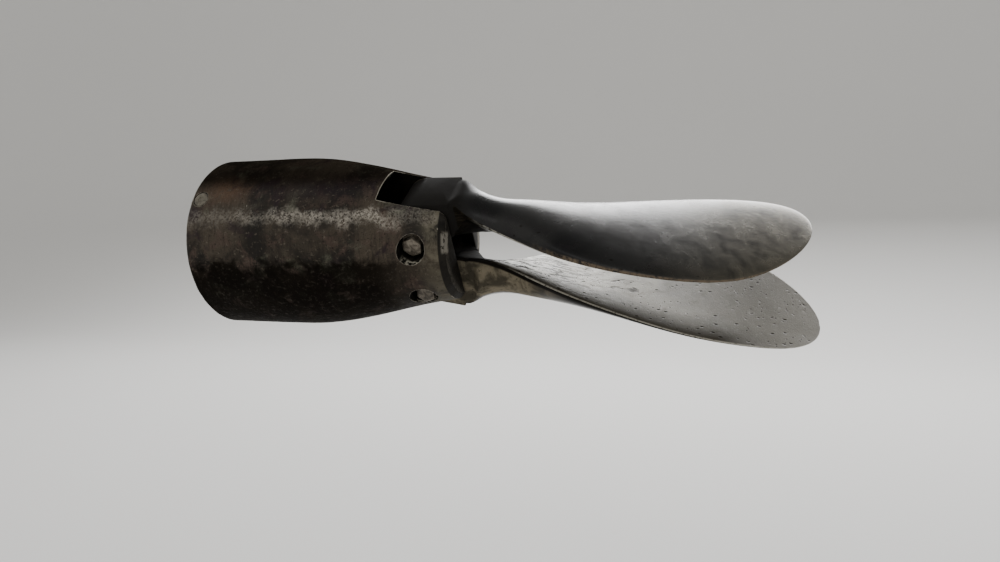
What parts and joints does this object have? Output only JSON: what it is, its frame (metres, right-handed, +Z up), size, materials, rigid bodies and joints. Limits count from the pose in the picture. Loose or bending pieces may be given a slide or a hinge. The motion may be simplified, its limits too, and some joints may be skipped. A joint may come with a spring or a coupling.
{
  "type": "folding boat propeller",
  "caption": "Folding boat propeller: slotted bronze hub with blades hinged on cross pins, folded aft, for a splined drive shaft.",
  "frame": {"origin": "on the shaft axis, at the hub's fore face", "axes": "+X aft along the shaft towards the blade tips, +Z up, +Y away from the side that shows the pin heads"},
  "size_m": [0.3042, 0.0987, 0.0927],
  "materials": {
    "hub_bronze": "dark tarnished bronze",
    "blade_bronze": "dark tarnished bronze",
    "pin_steel": "worn steel",
    "screw_steel": "dull steel",
    "damper_rubber": "black rubber",
    "sleeve_bronze": "machined bronze",
    "nut_bronze": "dull bronze",
    "washer_steel": "plain steel",
    "bush_bronze": "turned bronze"
  },
  "bodies": {
    "hub_assembly": {"hub": "hub_bronze", "damper_ring": "damper_rubber", "spline_sleeve": "sleeve_bronze", "lock_washer": "washer_steel", "shaft_nut": "nut_bronze", "near_set_screw": "screw_steel", "far_set_screw": "screw_steel", "upper_pivot_pin": "pin_steel", "lower_pivot_pin": "pin_steel"},
    "upper_blade_assembly": {"upper_blade": "blade_bronze", "upper_blade_bush": "bush_bronze"},
    "lower_blade_assembly": {"lower_blade": "blade_bronze", "lower_blade_bush": "bush_bronze"}
  },
  "joints": [
    {"name": "upper_blade_fold", "type": "hinge", "parent": "hub_assembly", "child": "upper_blade_assembly", "pos_m": [0.1183, -0.00799, 0.01198], "axis": [0, -0.832, -0.5548], "range_deg": [0, 90]},
    {"name": "lower_blade_fold", "type": "hinge", "parent": "hub_assembly", "child": "lower_blade_assembly", "pos_m": [0.1183, 0.00799, -0.01198], "axis": [0, 0.832, 0.5548], "range_deg": [-5, 78]}
  ]
}
